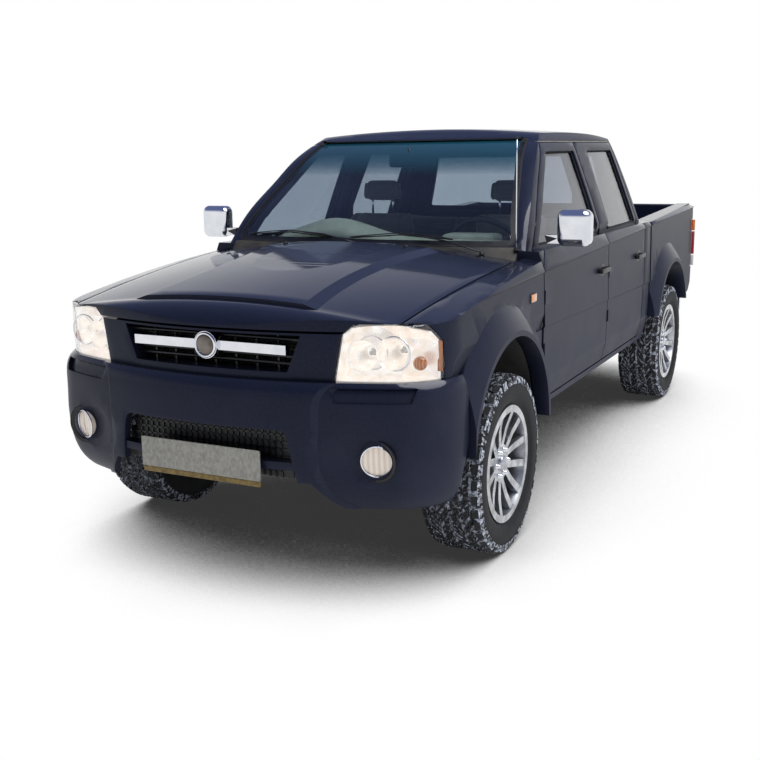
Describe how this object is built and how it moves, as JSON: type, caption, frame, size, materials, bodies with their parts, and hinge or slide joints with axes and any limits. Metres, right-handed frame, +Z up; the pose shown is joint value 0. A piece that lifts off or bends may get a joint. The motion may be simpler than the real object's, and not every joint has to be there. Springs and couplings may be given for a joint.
{
  "type": "pickup truck",
  "caption": "Double-cab pickup truck with opening doors, bonnet and tailgate, steered front wheels, a fitted cabin and an open load bed.",
  "frame": {"origin": "on the ground at the middle of the vehicle's length and width", "axes": "+Z up, nose towards -Y, the vehicle's left side towards +X"},
  "size_m": [2.016, 4.7983, 1.6919],
  "materials": {
    "alloy": "painted silver alloy",
    "body_paint": "dark blue metallic paint",
    "chassis_paint": "black chassis paint",
    "chrome": "bright plated",
    "exhaust_steel": "plain steel",
    "glass": "clear tinted glass",
    "lens": "clear lamp cover",
    "plate": "blank plate",
    "seat_fabric": "woven grey cloth",
    "tail_lens": "red lamp cover",
    "trim_plastic": "grained trim",
    "tyre": "matt black rubber"
  },
  "bodies": {
    "truck_body": {"back_window": "glass", "bed_floor": "chassis_paint", "bed_sides": "body_paint", "cab_back_panel": "body_paint", "cab_floor": "chassis_paint", "cab_side_left": "body_paint", "cab_side_right": "body_paint", "chassis_frame": "chassis_paint", "cowl": "body_paint", "dashboard": "trim_plastic", "engine_block": "chassis_paint", "exhaust": "exhaust_steel", "firewall": "chassis_paint", "fog_lamps": "chrome", "front_bumper": "body_paint", "front_fenders": "body_paint", "front_plate": "plate", "front_seats": "seat_fabric", "fuel_tank": "chassis_paint", "grille": "body_paint", "grille_bar": "chrome", "grille_slats": "trim_plastic", "headlamp_housings": "chrome", "headlamp_lenses": "lens", "leaf_springs": "chassis_paint", "propshaft": "chassis_paint", "radiator": "trim_plastic", "rear_axle": "chassis_paint", "rear_bumper": "body_paint", "rear_seat": "seat_fabric", "roof_panel": "body_paint", "suspension_arms": "chassis_paint", "tail_lamps": "tail_lens", "wheelhouses": "chassis_paint", "windscreen": "glass"},
    "front_door_left_body": {"front_door_left": "body_paint", "front_window_left": "glass", "mirror_left": "chrome"},
    "rear_door_left_body": {"rear_door_left": "body_paint", "rear_window_left": "glass"},
    "knuckle_left_body": {"knuckle_left": "chassis_paint"},
    "front_wheel_left": {"front_tyre_left": "tyre", "front_rim_left": "alloy"},
    "rear_wheel_left": {"rear_tyre_left": "tyre", "rear_rim_left": "alloy"},
    "front_door_right_body": {"front_door_right": "body_paint", "front_window_right": "glass", "mirror_right": "chrome"},
    "rear_door_right_body": {"rear_door_right": "body_paint", "rear_window_right": "glass"},
    "knuckle_right_body": {"knuckle_right": "chassis_paint"},
    "front_wheel_right": {"front_tyre_right": "tyre", "front_rim_right": "alloy"},
    "rear_wheel_right": {"rear_tyre_right": "tyre", "rear_rim_right": "alloy"},
    "bonnet_body": {"bonnet": "body_paint"},
    "tailgate_body": {"tailgate": "body_paint"},
    "steering_wheel_body": {"steering_wheel": "trim_plastic"}
  },
  "joints": [
    {"name": "front_door_left_hinge", "type": "hinge", "parent": "truck_body", "child": "front_door_left_body", "pos_m": [0.852, -1.049, 0.8], "axis": [0, 0, -1], "range_deg": [0, 65]},
    {"name": "rear_door_left_hinge", "type": "hinge", "parent": "truck_body", "child": "rear_door_left_body", "pos_m": [0.852, 0.005, 0.8], "axis": [0, 0, -1], "range_deg": [0, 65]},
    {"name": "steer_left", "type": "hinge", "parent": "truck_body", "child": "knuckle_left_body", "pos_m": [0.7, -1.55, 0.36], "axis": [0, 0, 1], "range_deg": [-32, 32]},
    {"name": "front_wheel_left_spin", "type": "hinge", "parent": "knuckle_left_body", "child": "front_wheel_left", "pos_m": [0.763, -1.55, 0.36], "axis": [1, 0, 0], "continuous": true},
    {"name": "rear_wheel_left_spin", "type": "hinge", "parent": "truck_body", "child": "rear_wheel_left", "pos_m": [0.763, 1.43, 0.36], "axis": [1, 0, 0], "continuous": true},
    {"name": "front_door_right_hinge", "type": "hinge", "parent": "truck_body", "child": "front_door_right_body", "pos_m": [-0.852, -1.049, 0.8], "axis": [0, 0, 1], "range_deg": [0, 65]},
    {"name": "rear_door_right_hinge", "type": "hinge", "parent": "truck_body", "child": "rear_door_right_body", "pos_m": [-0.852, 0.005, 0.8], "axis": [0, 0, 1], "range_deg": [0, 65]},
    {"name": "steer_right", "type": "hinge", "parent": "truck_body", "child": "knuckle_right_body", "pos_m": [-0.7, -1.55, 0.36], "axis": [0, 0, 1], "range_deg": [-32, 32]},
    {"name": "front_wheel_right_spin", "type": "hinge", "parent": "knuckle_right_body", "child": "front_wheel_right", "pos_m": [-0.763, -1.55, 0.36], "axis": [1, 0, 0], "continuous": true},
    {"name": "rear_wheel_right_spin", "type": "hinge", "parent": "truck_body", "child": "rear_wheel_right", "pos_m": [-0.763, 1.43, 0.36], "axis": [1, 0, 0], "continuous": true},
    {"name": "bonnet_hinge", "type": "hinge", "parent": "truck_body", "child": "bonnet_body", "pos_m": [0, -1.209, 1.178], "axis": [-1, 0, 0], "range_deg": [0, 50]},
    {"name": "tailgate_hinge", "type": "hinge", "parent": "truck_body", "child": "tailgate_body", "pos_m": [0, 2.226, 0.658], "axis": [-1, 0, 0], "range_deg": [0, 90]},
    {"name": "steering_wheel_turn", "type": "hinge", "parent": "truck_body", "child": "steering_wheel_body", "pos_m": [0.37, -0.495, 1.085], "axis": [0, 0.9063, 0.4226], "range_deg": [-512, 512]}
  ],
  "couplings": [
    {"joint": "steer_right", "follows": "steer_left", "ratio": 1},
    {"joint": "steering_wheel_turn", "follows": "steer_left", "ratio": 16}
  ]
}
